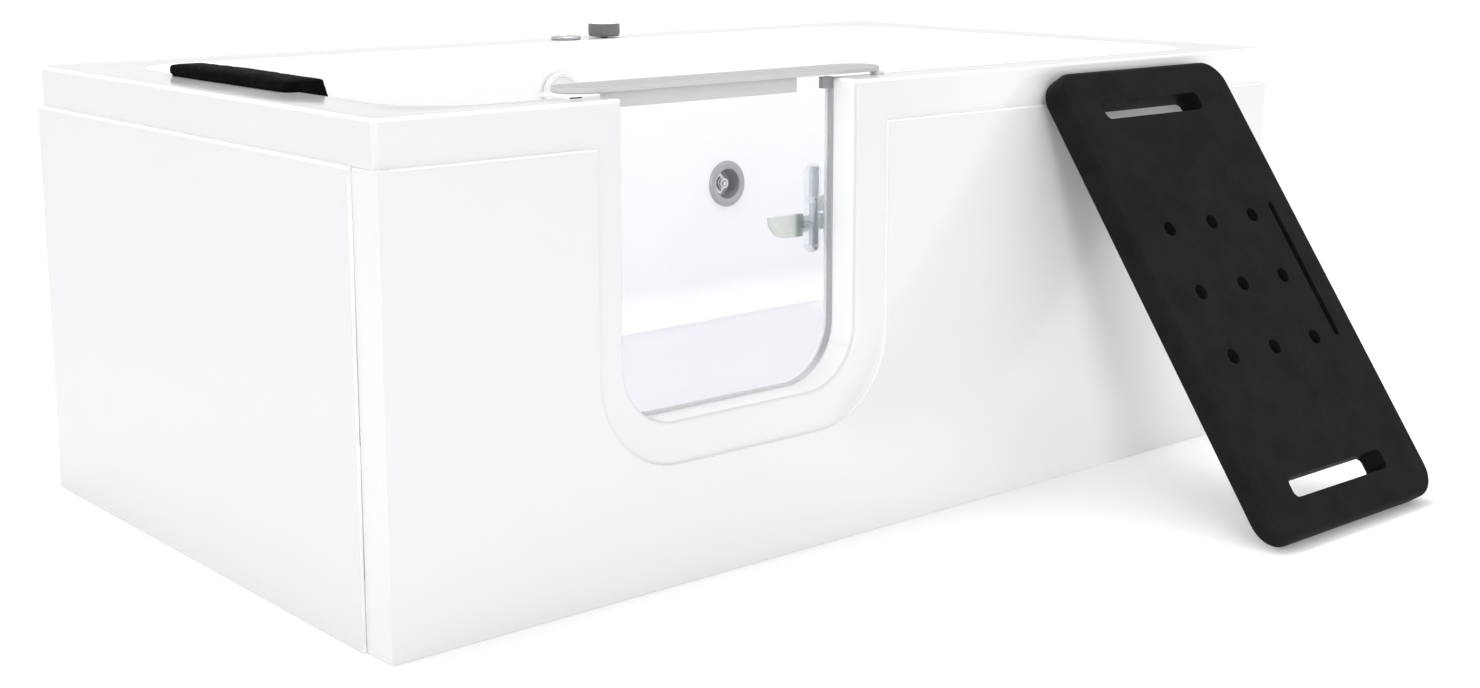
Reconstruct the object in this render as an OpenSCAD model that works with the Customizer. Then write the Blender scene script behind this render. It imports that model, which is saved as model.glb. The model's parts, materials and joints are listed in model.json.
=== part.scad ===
// Walk-in bathtub with a glass door: a moulded shell on a steel cradle, two panels, an inward
// opening door, a wall inlet, an overflow-operated waste, a headrest and a loose seat board.
// Millimetres. The origin is on the floor under the middle of the bath. +X runs along the bath
// towards the foot end, -Y is the front with the door and +Z is up.

/* [Bath] */
// Length over the rim
bath_l = 1500; // [1400:5:1700]
// Width over the rim
bath_w = 850; // [800:5:950]
// Height of the rim's top above the floor
rim_h = 570; // [540:5:620]
// Height of the down-turned lip round the rim
lip_h = 52; // [40:1:70]
// Thickness of the moulded shell
shell_t = 6; // [4:0.5:8]
// Radius of the rim's outer top edge
rim_edge_r = 5; // [3:0.5:8]
// Radius of the rim's corners in plan
rim_corner_r = 9; // [9:0.5:20]

/* [Basin] */
// Width of the deck at the head end
deck_head = 88; // [80:1:110]
// Width of the deck at the foot end
deck_foot = 87; // [60:1:110]
// Width of the deck at the front
deck_front = 59; // [55:1:75]
// Width of the deck at the back
deck_back = 83; // [75:1:100]
// Height of the basin's floor above the ground
basin_floor_h = 110; // [100:1:130]
// Run of the sloping back rest
head_slope = 122; // [60:1:200]
// Run of the foot end's slope
foot_slope = 63; // [30:1:120]
// Run of the back wall's slope
back_slope = 22; // [10:1:40]
// Corner radius of the basin at the rim
basin_corner_r = 80; // [60:1:110]
// Fillet between the basin's floor and walls
basin_fillet = 58; // [30:1:65]
// Radius of the rim's inner top edge
inner_edge_r = 10; // [5:0.5:14]
// Step-back of the far wall's foot end part
wall_step = 6; // [2:0.5:10]
// Place of that step along the bath, at the rim
crease_x = 248; // [150:1:320]

/* [Doorway] */
// Distance of the doorway's left jamb from the head end
door_in = 309; // [280:1:350]
// Width of the doorway
door_w = 359; // [320:1:400]
// Height of the sill above the floor
sill_h = 194; // [180:1:230]
// Corner radius of the doorway
door_r = 75; // [40:1:90]
// Width of the flat surround beside the doorway, left
surround_left = 37; // [30:1:60]
// Width of the flat surround beside the doorway, right
surround_right = 49; // [30:1:60]
// Height of the flat surround below the sill
surround_low = 50; // [30:1:60]
// Corner radius of the surround
surround_r = 115; // [90:1:125]
// How far the surround runs on behind the panel
surround_lap = 12; // [8:1:20]
// Radius of the doorway's outer edges
jamb_edge_r = 4; // [2:0.5:5]

/* [Door] */
// Depth of the glass behind the rim's face
glass_set = 51; // [45:0.5:54]
// Thickness of the glass
glass_t = 6; // [5:0.5:8]
// Running gap between the glass and the doorway
door_gap = 1.5; // [1.2:0.1:2.5]
// Height of the gasket strip above the jamb
gasket_h = 2.6; // [2:0.1:5]
// Width of the gasket strip
gasket_w = 7.8; // [6:0.1:12]
// Length of the top rail
rail_l = 488; // [470:1:520]
// Width of the top rail
rail_w = 62; // [56:1:80]
// Thickness of the top rail
rail_t = 6; // [4:0.5:8]
// Gap between the rim and the top rail
rail_gap = 4; // [3:0.5:6]
// Length of the rail's channel on the glass
channel_l = 296; // [200:1:330]
// Height of the channel
channel_h = 19; // [14:0.5:30]
// Thickness of the channel's legs
channel_t = 5.5; // [3:0.5:6]
// Radius of the hinge pin
pin_r = 4; // [3:0.5:5]
// Radius of the hinge knuckles
knuckle_r = 8; // [7:0.5:9]

/* [Latch] */
// Distance of the latch from the glass's edge
latch_in = 23; // [20:1:40]
// Height of the lever's pivot above the sill
latch_up = 193; // [150:1:260]
// Width of the latch case
latch_w = 26; // [24:1:30]
// Height of the latch case
latch_h = 112; // [100:1:140]
// Length of the lever's paddle from the pivot
paddle_l = 55; // [45:1:70]
// Height of the paddle and radius of its corner
paddle_r = 28; // [20:1:32]
// Length of the lever's tongue from the pivot
tongue_l = 38; // [35:1:42]

/* [Panels] */
// Thickness of the panels
panel_t = 5; // [4:0.5:6]
// Depth of the front panel's return round the corner
return_w = 51; // [40:1:70]
// Groove between the return and the end panel
panel_groove = 1.5; // [1.5:0.5:5]
// Depth of the panels' folded edges
flange_w = 15; // [10:1:18]

/* [Cradle] */
// Width and height of the steel tube
tube_w = 30; // [25:1:35]
// Wall of the steel tube
tube_t = 2; // [1.5:0.5:3]
// Thickness of the board under the basin
board_t = 18; // [15:1:20]
// Distance of the end tubes from the bath's ends
end_in = 50; // [45:1:55]
// Distance of the long tubes from the middle
long_y = 230; // [180:1:260]
// Width of a corner post
post_w = 25; // [20:1:25]
// Radius of a foot's pad
pad_r = 24; // [18:1:30]
// Height of a foot's pad
pad_h = 9; // [6:1:14]
// Radius of a foot's threaded rod
rod_r = 5; // [4:0.5:6]

/* [Fittings] */
// Place of the waste along the bath
waste_x = 330; // [280:1:400]
// Radius of the waste flange
waste_r = 35; // [32:1:42]
// Radius of the waste's bore through the shell
waste_bore_r = 26; // [22:0.5:30]
// Lift of the drain plug
plug_lift = 10; // [6:1:14]
// Place of the overflow along the bath
overflow_x = 21; // [-40:1:60]
// Depth of the overflow below the rim
overflow_down = 79; // [70:1:100]
// Radius of the overflow cover
overflow_r = 32.5; // [28:0.5:36]
// Place of the wall inlet along the bath
inlet_x = 356; // [340:1:420]
// Depth of the wall inlet below the rim
inlet_down = 249; // [220:1:290]
// Radius of the wall inlet's flange
inlet_r = 38; // [34:0.5:42]
// Place of the deck knob along the bath
knob_x = 138; // [120:1:220]
// Radius of the deck knob
knob_r = 25; // [20:0.5:28]
// Height of the deck knob
knob_h = 23; // [18:0.5:30]
// Place of the deck ring along the bath
ring_x = 64; // [40:1:80]
// Radius of the deck ring
ring_r = 23; // [18:0.5:26]
// Radius of the waste pipe
waste_pipe_r = 20; // [16:1:20]
// Length of the waste's outlet socket
waste_socket_l = 35; // [25:1:45]
// Radius of the water pipe
water_pipe_r = 8; // [6:0.5:10]
// Radius of the supply tails
tail_r = 10.4; // [9:0.1:13]
// Length of the supply tails
tail_l = 20; // [15:1:25]

/* [Headrest] */
// Length of the headrest
rest_l = 300; // [220:1:360]
// Place of the headrest's middle across the bath
rest_y = 21; // [-60:1:60]
// Height of the headrest above the rim
rest_top = 14; // [10:1:22]
// Overlap of the headrest on the deck
rest_lap = 28; // [20:1:40]
// Thickness of the headrest in front of the wall
rest_t = 27; // [16:1:40]
// Drop of the headrest below the rim
rest_drop = 96; // [60:1:140]

/* [Seat board] */
// Width of the seat board
seat_w = 358; // [320:1:400]
// Length of the seat board
seat_l = 665; // [600:1:700]
// Thickness of the seat board
seat_t = 34; // [24:1:40]
// Lean of the seat board from upright
seat_lean = 35; // [30:0.5:40]
// Distance from the foot end to the seat board's middle
seat_in = 328; // [230:1:450]
// Corner radius of the seat board
seat_r = 38; // [25:1:50]
// Radius of the seat board's edges
seat_edge = 8; // [5:0.5:10]
// Radius of the seat board's drain holes
seat_hole_r = 10.5; // [7:0.5:12]

/* [Hidden] */
$fn = 48;

white = [0.96, 0.96, 0.97];
steel = [0.62, 0.63, 0.65];
alu = [0.82, 0.82, 0.83];
chrome = [0.75, 0.76, 0.78];
black = [0.12, 0.12, 0.13];

eps = 0.01;          // overlap that fuses two solids of one piece
fit = 0.05;          // radial clearance of a running fit
soft_gap = 0.3;      // gap between pieces that move on each other
cut = 5;             // how far a cutting tool runs past a face

x_end = bath_l / 2;
y_end = bath_w / 2;
y_face = -y_end;
lip_z = rim_h - lip_h;
deck_z = rim_h - shell_t;

// The basin at the rim and at the floor, as [left, right, front, back]
basin_rim = [-x_end + deck_head, x_end - deck_foot, -y_end + deck_front, y_end - deck_back];
basin_low = basin_rim + [head_slope, -foot_slope, 0, -back_slope];
basin_rise = rim_h - basin_floor_h;
floor_corner_r = basin_corner_r + 25;
crease_w = 16;
crease_run = 28;     // how far the crease leans towards the foot end on its way down

// The glass and the hinge
door_x = -x_end + door_in;
door_x2 = door_x + door_w;
glass_y = y_face + glass_set;
glass_in = glass_y + glass_t;
glass_top = rim_h + 1;
wall_y = basin_rim[2];
axis_x = door_x - 14;
axis_y = wall_y + soft_gap + 0.5 + knuckle_r;
rail_z = rim_h + rail_gap;
rail_x = axis_x - 25;
rail_y = axis_y;
leaf_low = sill_h + door_r + 25;
leaf_high = rim_h - 8;
cap_w = 18;
block_w = 51;        // the block on the rim under the rail's head end
block_l = 57;
buffer_r = 9;
leaf_end = 20;       // height of a wall knuckle
leaf_t = 4;
leaf_x = axis_x - 36;
screw_r = 2.1;

// The latch
latch_x = door_x2 - latch_in;
latch_z = sill_h + latch_up;
case_x = latch_x + 3;
case_z = latch_z + 22;
case_t = 3;
rod_w = 10;
rod_x = latch_x + rod_w;
block_h = 8;
latch_screw_z = [case_z - latch_h / 2 + block_h / 2, latch_z + 31];
lever_y = glass_in + case_t + rod_w + 2;
latch_pin_r = 3;
lever_t = 6;
tongue_h = 20;
keeper_x = door_x2 + 3;
keeper_w = 34;
keeper_low = latch_z - tongue_h / 2 - 6;
keeper_high = latch_z + tongue_h / 2 + 22;

// The cradle
board_z = basin_floor_h - shell_t - board_t;
tube_z = board_z - tube_w;
end_x = x_end - end_in;
post_y = y_end - 18 - post_w / 2;
foot_y = y_end - 45;

// Fittings. far_y is the far wall's surface at a height, on the head or the foot side
function far_y(z, step) = basin_rim[3] - back_slope * (rim_h - z) / basin_rise + step;
overflow_z = rim_h - overflow_down;
inlet_z = rim_h - inlet_down;
overflow_y = far_y(overflow_z, 0);
inlet_y = far_y(inlet_z, wall_step);
far_tilt = atan(back_slope / basin_rise);
deck_y = y_end - deck_back / 2 - 5;
pipe_y = y_end - 34;
bowl_d = shell_t + 13;
overflow_neck_r = 16;
inlet_neck_r = inlet_r - 11;
valve_neck_r = 12;
air_neck_r = 9;
outlet_l = 120;
low_pipe_z = 34;
waste_neck_h = 34;
trap_low = 8;
trap_z = trap_low + waste_pipe_r + 4;
trap_in = waste_bore_r - 6;
socket_y = waste_bore_r + 12;
overflow_pipe_r = waste_pipe_r - 2;
overflow_depth = pipe_y - overflow_y;
socket_low = 42;     // how far the overflow's socket reaches below its middle
overflow_grip = 13;  // and where the pipe ends in it
plug_stem_r = 4;
spindle_h = 25;           // how far the deck controls' spindles go down
valve_low = deck_z - 96;
tail_z = valve_low + 12;
tail_x = 40;
collar_l = 10;
inlet_pipe_y = pipe_y - 5;
inlet_knee = 42;

// ---------------------------------------------------------------- shared shapes

// A profile in y and z, drawn out along x from x0 to x1
module along_x(x0, x1) translate([x0, 0, 0]) rotate([90, 0, 90]) linear_extrude(x1 - x0) children();

// A profile in x and z, drawn out along y from y0 to y1
module along_y(y0, y1) translate([0, y1, 0]) rotate([90, 0, 0]) linear_extrude(y1 - y0) children();

// A box from its low and its high corner
module box(low, high) translate(low) cube(high - low);

// A rectangle with round corners
module round_rect(w, h, r) {
    square([w - 2 * r, h], center = true);
    square([w, h - 2 * r], center = true);
    for (x = [-1, 1], y = [-1, 1]) translate([x * (w / 2 - r), y * (h / 2 - r)]) circle(r);
}

// A U with two round lower corners, as wide as the doorway and its grow
module u_shape(grow_left, grow_right, grow_low, r, top) {
    x0 = door_x - grow_left;
    x1 = door_x2 + grow_right;
    z0 = sill_h - grow_low;
    translate([x0, z0 + r]) square([x1 - x0, top - z0 - r]);
    translate([x0 + r, z0]) square([x1 - x0 - 2 * r, 2 * r]);
    for (x = [x0 + r, x1 - r]) translate([x, z0 + r]) circle(r, $fn = 96);
}

// The flat surround of the doorway, grown by a lap
module surround_shape(lap, top)
    u_shape(surround_left + lap, surround_right + lap, surround_low + lap, surround_r + lap, top);

// Half of an edge-rounded slab's section: radius out to w, height h below zero, top edge r
module edge_section(w, h, r) {
    translate([0, -h]) square([w, h - r]);
    translate([0, -h]) square([w - r, h]);
    translate([w - r, -r]) circle(r);
}

// A slab with round corners in plan and a round top edge, its top at zero
module soft_slab(lx, ly, h, corner, edge) {
    sx = lx / 2 - corner;
    sy = ly / 2 - corner;
    for (x = [-sx, sx], y = [-sy, sy]) translate([x, y, 0]) rotate_extrude() intersection() {
        edge_section(corner, h, edge);
        translate([0, -h]) square([corner, h]);
    }
    for (m = [0, 1]) {
        mirror([m, 0, 0]) along_y(-sy, sy) edge_section(lx / 2, h, edge);
        mirror([0, m, 0]) along_x(-sx, sx) edge_section(ly / 2, h, edge);
    }
}

// A closed body through rings of points, all rings with the same number of points
module loft(rings) {
    m = len(rings[0]);
    last = len(rings) - 1;
    sides = [for (k = [0:last - 1], i = [0:m - 1], h = [0, 1])
        let (a = k * m + i, b = k * m + (i + 1) % m)
        h == 0 ? [a, a + m, b + m] : [a, b + m, b]];
    caps = [[for (i = [0:m - 1]) i], [for (i = [m - 1:-1:0]) last * m + i]];
    polyhedron([for (ring = rings, p = ring) p], concat(caps, sides), convexity = 6);
}

// A run of pipe with round bends through points that turn at right angles
module pipe_run(points, r, bend) {
    last = len(points) - 1;
    for (i = [0:last - 1]) {
        step = points[i + 1] - points[i];
        dir = step / norm(step);
        from = points[i] + (i == 0 ? 0 : bend) * dir;
        run = norm(step) - (i == 0 ? 0 : bend) - (i == last - 1 ? 0 : bend);
        translate(from) point_along(dir) cylinder(r = r, h = run);
    }
    for (i = [1:last - 1]) {
        a = points[i] - points[i - 1];
        b = points[i + 1] - points[i];
        pipe_bend(points[i], a / norm(a), b / norm(b), r, bend);
    }
}

// Turns +z to one of the six axis directions
module point_along(d) {
    turn = d[2] > 0.5 ? [0, 0, 0] : d[2] < -0.5 ? [180, 0, 0]
        : d[0] > 0.5 ? [0, 90, 0] : d[0] < -0.5 ? [0, -90, 0]
        : d[1] > 0.5 ? [-90, 0, 0] : [90, 0, 0];
    rotate(turn) children();
}

// A quarter bend at a corner, coming in along a and leaving along b
module pipe_bend(corner, a, b, r, bend) {
    n = cross(a, b);
    m = [[-b[0], a[0], n[0], 0], [-b[1], a[1], n[1], 0], [-b[2], a[2], n[2], 0], [0, 0, 0, 1]];
    translate(corner + bend * (b - a)) multmatrix(m)
        rotate_extrude(angle = 90) translate([bend, 0]) circle(r, $fn = 32);
}

// ---------------------------------------------------------------- shell

function arc(cx, cy, r, a0, n) = [for (i = [0:n]) let (a = a0 + 90 * i / n) [cx + r * cos(a), cy + r * sin(a)]];

// One level of the basin. b is its outline, r the corner radius and cr the crease's place
function basin_ring(b, r, cr, z) = [for (p = concat(
    arc(b[0] + r, b[2] + r, r, 180, 9),
    arc(b[1] - r, b[2] + r, r, 270, 9),
    arc(b[1] - r, b[3] + wall_step - r, r, 0, 9),
    [[cr + crease_w / 2, b[3] + wall_step], [cr - crease_w / 2, b[3]]],
    arc(b[0] + r, b[3] - r, r, 90, 9))) [p[0], p[1], z]];

// The basin's level at height z, moved out by the distance out
function basin_level(z, out) =
    let (s = min(1, (rim_h - z) / basin_rise))
    basin_ring(
        basin_rim + s * (basin_low - basin_rim) + out * [-1, 1, -1, 1],
        basin_corner_r + s * (floor_corner_r - basin_corner_r) + out,
        crease_x + s * crease_run, z);

// Rings from the floor up. grow moves the whole skin out and down
function basin_rings(grow) = concat(
    [for (i = [0:7]) let (a = 90 * i / 7, r = basin_fillet + grow)
        basin_level(basin_floor_h - grow + r * (1 - cos(a)), grow - r * (1 - sin(a)))],
    grow > 0 ? [basin_level(deck_z + 1, grow)]
        : concat([for (i = [0:4]) let (a = 90 * i / 4)
            basin_level(rim_h - inner_edge_r * (1 - sin(a)), inner_edge_r * (1 - cos(a)))],
            [basin_level(rim_h + cut, inner_edge_r)]));

module bath_shell() color(white) difference() {
    union() {
        difference() {
            translate([0, 0, rim_h]) soft_slab(bath_l, bath_w, lip_h, rim_corner_r, rim_edge_r);
            translate([0, 0, lip_z - cut]) linear_extrude(lip_h - shell_t + cut)
                round_rect(bath_l - 2 * shell_t, bath_w - 2 * shell_t, rim_corner_r - shell_t + 1);
        }
        loft(basin_rings(shell_t));
        along_y(y_face, wall_y + 3) u_shape(shell_t, shell_t, shell_t, door_r + shell_t, deck_z + 1);
        along_y(y_face, y_face + shell_t) {
            surround_shape(0, lip_z + 1);
            surround_shape(surround_lap, lip_z - panel_t - soft_gap);
        }
    }
    loft(basin_rings(0));
    along_y(y_face - cut, wall_y + cut) {
        u_shape(0, 0, 0, door_r, rim_h + cut);
        for (m = [0, 1]) translate([m == 0 ? door_x : door_x2, rim_h]) mirror([m, 0])
            mirror([0, 1]) edge_cut(rim_edge_r);
    }
    doorway_edges();
    wall_screw_bores();
    translate([waste_x, 0, 0]) cylinder(r = waste_bore_r + soft_gap, h = basin_floor_h + cut);
    wall_bore(overflow_x, overflow_y, overflow_z, overflow_neck_r + soft_gap);
    wall_bore(inlet_x, inlet_y, inlet_z, inlet_neck_r + soft_gap);
    deck_bore(knob_x, valve_neck_r + soft_gap);
    deck_bore(ring_x, air_neck_r + soft_gap);
}

// What a rounded edge takes off: material lies at -x and +y of the origin
module edge_cut(r) difference() {
    translate([-r, -cut]) square([r + 1, r + cut]);
    translate([-r, r]) circle(r);
}

// The rounding of the doorway's outer edges along both jambs, the sill and the two corners
module doorway_edges() {
    z0 = sill_h + door_r;
    for (m = [0, 1]) translate([m == 0 ? door_x : door_x2, y_face, 0]) mirror([m, 0, 0]) {
        translate([0, 0, z0]) linear_extrude(rim_h + cut - z0) edge_cut(jamb_edge_r);
        translate([door_r, 0, z0]) mirror([1, 0, 0]) rotate([-90, 0, 0])
            rotate_extrude(angle = 90, $fn = 96) translate([door_r, 0]) mirror([1, 0]) edge_cut(jamb_edge_r);
    }
    translate([0, y_face, sill_h]) along_x(door_x + door_r, door_x2 - door_r)
        rotate(180) edge_cut(jamb_edge_r);
}

// A bore down through the deck
module deck_bore(x, r) translate([x, deck_y, deck_z - cut]) cylinder(r = r, h = shell_t + 2 * cut);

// A bore square to the far wall
module wall_bore(x, y, z, r)
    translate([x, y, z]) rotate([-90 - far_tilt, 0, 0]) translate([0, 0, -20]) cylinder(r = r, h = 40);

// Places a fitting on the far wall: its +z points into the basin
module on_far_wall(x, y, z) translate([x, y, z]) rotate([90 - far_tilt, 0, 0]) children();

// ---------------------------------------------------------------- cradle

module base_board() color([0.72, 0.62, 0.47]) difference() {
    margin = basin_fillet - 20;
    box([basin_low[0] + margin, basin_low[2] + margin, board_z],
        [basin_low[1] - margin, basin_low[3] - margin, board_z + board_t]);
    translate([waste_x, 0, board_z - cut]) cylinder(r = waste_r + 12, h = board_t + 2 * cut);
}

module tube_x(x0, x1, y) along_x(x0, x1) translate([y, tube_z + tube_w / 2]) tube_section();
module tube_y(y0, y1, x) along_y(y0, y1) translate([x, tube_z + tube_w / 2]) tube_section();
module tube_section() difference() {
    square(tube_w, center = true);
    square(tube_w - 2 * tube_t, center = true);
}

module cradle_rail(side) color(steel) tube_x(-end_x + tube_w / 2, end_x - tube_w / 2, side * long_y);

module cradle_tube(x, reach, holes) color(steel) difference() {
    tube_y(-reach, reach, x);
    for (y = holes) translate([x, y, tube_z - cut]) cylinder(r = rod_r + soft_gap, h = tube_t + 2 * cut);
}

module post(sx, sy) color(steel) difference() {
    translate([sx * end_x, sy * post_y, tube_z + tube_w]) tube_post(post_w, 0);
    translate([sx * end_x, sy * post_y, tube_z + tube_w]) tube_post(post_w - 2 * tube_t, cut);
}
module tube_post(w, past)
    translate([-w / 2, -w / 2, -past]) cube([w, w, deck_z - tube_z - tube_w + 2 * past]);

// A foot: a moulded pad under a threaded rod that screws into the nut welded in the tube
module level_foot(x, y) color(black) translate([x, y, 0]) {
    rotate_extrude() {
        square([pad_r, pad_h - 4]);
        polygon([[0, pad_h - 4 - eps], [pad_r, pad_h - 4 - eps], [pad_r - 4, pad_h], [0, pad_h]]);
        square([rod_r * 1.9, pad_h + 5]);
        square([rod_r, tube_z + tube_w - tube_t - 4]);
    }
}

function feet() = [[-end_x, -foot_y], [-end_x, foot_y], [end_x, -foot_y], [end_x, foot_y], [0, 0]];

module foot_nuts() color(steel) for (p = feet()) translate([p[0], p[1], tube_z - 8])
    difference() {
        cylinder(r = rod_r * 1.9, h = 8, $fn = 6);
        translate([0, 0, -cut]) cylinder(r = rod_r + fit, h = 8 + 2 * cut);
    }

// ---------------------------------------------------------------- panels

// A panel's section: [0, 0] is the outer face on the floor, x runs inwards
module panel_section() difference() {
    corner = [panel_t, lip_z - panel_t];
    square([flange_w, lip_z]);
    translate([panel_t, panel_t]) square([flange_w, lip_z - 2 * panel_t]);
    difference() {
        translate([-cut, corner[1]]) square([panel_t + cut, panel_t + cut]);
        translate(corner) circle(panel_t);
    }
}

module front_panel() color(white) {
    difference() {
        union() {
            translate([0, y_face - panel_t, 0]) along_x(-x_end, x_end) panel_section();
            box([x_end - panel_t, y_face - panel_t, 0], [x_end, y_face + flange_w, lip_z]);
        }
        along_y(y_face - 2 * cut, y_face + flange_w + cut) surround_shape(0, rim_h);
    }
    intersection() {
        translate([-x_end, 0, 0]) along_y_section(y_face - panel_t, y_face - panel_t + return_w);
        box([-x_end, y_face - panel_t, 0], [-x_end + flange_w, y_face + return_w, lip_z]);
    }
}

// The panel section turned to face the head end
module along_y_section(y0, y1) translate([0, y0, 0]) mirror([0, 1, 0]) rotate([90, 0, 0])
    linear_extrude(y1 - y0) panel_section();

module end_panel() color(white) {
    y0 = y_face - panel_t + return_w + panel_groove;
    translate([-x_end - panel_t, 0, 0]) along_y_section(y0, y_end);
    box([-x_end - panel_t, y_end - panel_t, 0], [-x_end - panel_t + flange_w, y_end, lip_z - panel_t]);
}

// Angle brackets from the front and head posts to the panels' backs
module panel_brackets() color(steel) {
    for (z = [tube_z + 60, lip_z - 90]) {
        for (s = [-1, 1]) {
            box([s * end_x - post_w / 2, y_face, z], [s * end_x + post_w / 2, y_face + 2, z + 30]);
            box([s * end_x - post_w / 2, y_face + 2 - eps, z], [s * end_x + post_w / 2, -post_y - post_w / 2, z + 2]);
        }
        box([-x_end, post_y - post_w / 2, z], [-x_end + 2, post_y + post_w / 2, z + 30]);
        box([-x_end + 2 - eps, post_y - post_w / 2, z], [-end_x - post_w / 2, post_y + post_w / 2, z + 2]);
    }
}

// ---------------------------------------------------------------- door

module door_gasket() color([0.66, 0.66, 0.68]) along_y(glass_y - soft_gap - gasket_w, glass_y - soft_gap)
    difference() {
        u_shape(-0.1, -0.1, -0.1, door_r - 0.1, rim_h - 13);
        u_shape(-gasket_h, -gasket_h, -gasket_h, door_r - gasket_h, rim_h);
    }

module gasket_end_cap() color([0.45, 0.46, 0.48])
    box([door_x2 - cap_w, glass_y - soft_gap - gasket_w, rim_h - 12.9], [door_x2 - 0.1, glass_y - soft_gap, rim_h + 1]);

module door_glass() color([0.85, 0.92, 0.95, 0.35]) along_y(glass_y, glass_in)
    u_shape(-door_gap, -door_gap, -door_gap, door_r - door_gap, glass_top);

module door_rail() color(alu) translate([rail_x + rail_l / 2, rail_y, rail_z + rail_t])
    pill_slab(rail_l, rail_w, rail_t, 1.5);

// A flat bar with half-round ends and a round top edge, its top at zero
module pill_slab(l, w, h, edge) {
    s = l / 2 - w / 2;
    for (x = [-s, s]) translate([x, 0, 0]) rotate_extrude($fn = 72) intersection() {
        edge_section(w / 2, h, edge);
        translate([0, -h]) square([w / 2, h]);
    }
    for (m = [0, 1]) mirror([0, m, 0]) along_x(-s, s) edge_section(w / 2, h, edge);
}

// The channel hangs under the rail and grips the glass
module door_channel() color(alu) {
    x0 = door_x + door_gap + 3;
    difference() {
        box([x0, glass_y - channel_t, rail_z - channel_h], [x0 + channel_l, glass_in + channel_t, rail_z]);
        box([x0 - cut, glass_y, rail_z - channel_h - cut], [x0 + channel_l + cut, glass_in, glass_top]);
    }
}

module knuckle(z0, z1) difference() {
    translate([axis_x, axis_y, z0]) cylinder(r = knuckle_r, h = z1 - z0);
    knuckle_bore();
}
module knuckle_bore() translate([axis_x, axis_y, leaf_low - cut])
    cylinder(r = pin_r + fit, h = leaf_high - leaf_low + 2 * cut);

function wall_knuckles() = let (mid = (leaf_low + leaf_high) / 2)
    [[leaf_low, leaf_low + leaf_end], [mid - leaf_end / 2, mid + leaf_end / 2], [leaf_high - leaf_end, leaf_high]];

// The fixed leaf lies on the basin's front wall beside the doorway
module hinge_wall_leaf() color(chrome) {
    difference() {
        box([leaf_x, wall_y, leaf_low], [axis_x - knuckle_r - 0.6, wall_y + leaf_t, leaf_high]);
        wall_screw_bores();
    }
    for (k = wall_knuckles()) {
        knuckle(k[0], k[1]);
        difference() {
            box([axis_x - knuckle_r - 1.6, wall_y, k[0]], [axis_x, axis_y, k[1]]);
            knuckle_bore();
        }
    }
}

// Places and heights of the screws through the front wall: three in the hinge, two in the keeper
function wall_screw_places() = concat(
    [for (z = [leaf_low + 30, (leaf_low + leaf_high) / 2, leaf_high - 30]) [leaf_x + 12, z]],
    [for (z = [keeper_low + 8, keeper_high - 8]) [keeper_x + keeper_w - 6, z]]);

module wall_screw_bores() for (p = wall_screw_places())
    translate([p[0], wall_y - shell_t - cut, p[1]]) rotate([-90, 0, 0])
        cylinder(r = screw_r + 0.2, h = shell_t + leaf_t + 2 * cut);

module wall_screws() color(chrome) for (p = wall_screw_places())
    translate([p[0], wall_y + leaf_t, p[1]]) rotate([-90, 0, 0]) {
        cylinder(r1 = 4.2, r2 = 3, h = 2.2, $fn = 32);
        translate([0, 0, -leaf_t - shell_t - 7]) cylinder(r = screw_r, h = leaf_t + shell_t + 7 + eps);
    }

module wall_nuts() color(steel) for (p = wall_screw_places())
    translate([p[0], wall_y - shell_t, p[1]]) rotate([90, 0, 0]) difference() {
        cylinder(r = 4.6, h = 4, $fn = 6);
        translate([0, 0, -cut]) cylinder(r = screw_r + fit, h = 20);
    }

module hinge_pin() color(steel) translate([axis_x, axis_y, leaf_low - 2]) {
    cylinder(r = pin_r, h = leaf_high - leaf_low + 3);
    translate([0, 0, leaf_high - leaf_low + 2 + soft_gap]) cylinder(r = pin_r + 2, h = 2.5);
}

// The moving leaf is clamped to the glass; its knuckles stand between the fixed ones
module hinge_door_leaf() color(chrome) {
    k = wall_knuckles();
    leaf_y = wall_y + soft_gap + 0.5;
    clamp_x = door_x + door_gap + 1;
    box([clamp_x, glass_in, k[0][1] + 0.5], [clamp_x + 34, leaf_y + leaf_t, k[2][0] - 0.5]);
    for (i = [0, 1]) {
        z0 = k[i][1] + 0.5;
        z1 = k[i + 1][0] - 0.5;
        knuckle(z0, z1);
        difference() {
            box([axis_x, leaf_y, z0], [clamp_x + eps, leaf_y + leaf_t, z1]);
            knuckle_bore();
        }
    }
}

// The white block on the rim round the hinge's top, with a slot in its front and a hole in its top
module hinge_end_block() color(white) {
    x0 = axis_x - 42;
    y0 = axis_y - 43;
    difference() {
        translate([x0 + block_w / 2, y0 + block_l / 2, rail_z - soft_gap])
            soft_slab(block_w, block_l, rail_gap - soft_gap, 10, 1);
        box([x0 + 6, y0 - cut, rim_h + 1], [x0 + 21, y0 + 6, rim_h + 2.4]);
        translate([x0 + 21, axis_y + 12, rail_z - 2.5]) cylinder(r = 2.6, h = cut);
    }
}

module rail_buffer() color([0.9, 0.9, 0.9])
    translate([rail_x + rail_l - buffer_r - 3, wall_y - inner_edge_r - 2, rim_h + soft_gap])
        cylinder(r = buffer_r, h = rail_gap - soft_gap);

// ---------------------------------------------------------------- latch

module oblong(w, h) {
    square([w, h - w], center = true);
    for (s = [-1, 1]) translate([0, s * (h - w) / 2]) circle(w / 2);
}

// Points a drilled or turned shape into the basin, square to the glass
module from_glass(x, z) translate([x, glass_in, z]) rotate([-90, 0, 0]) children();

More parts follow.
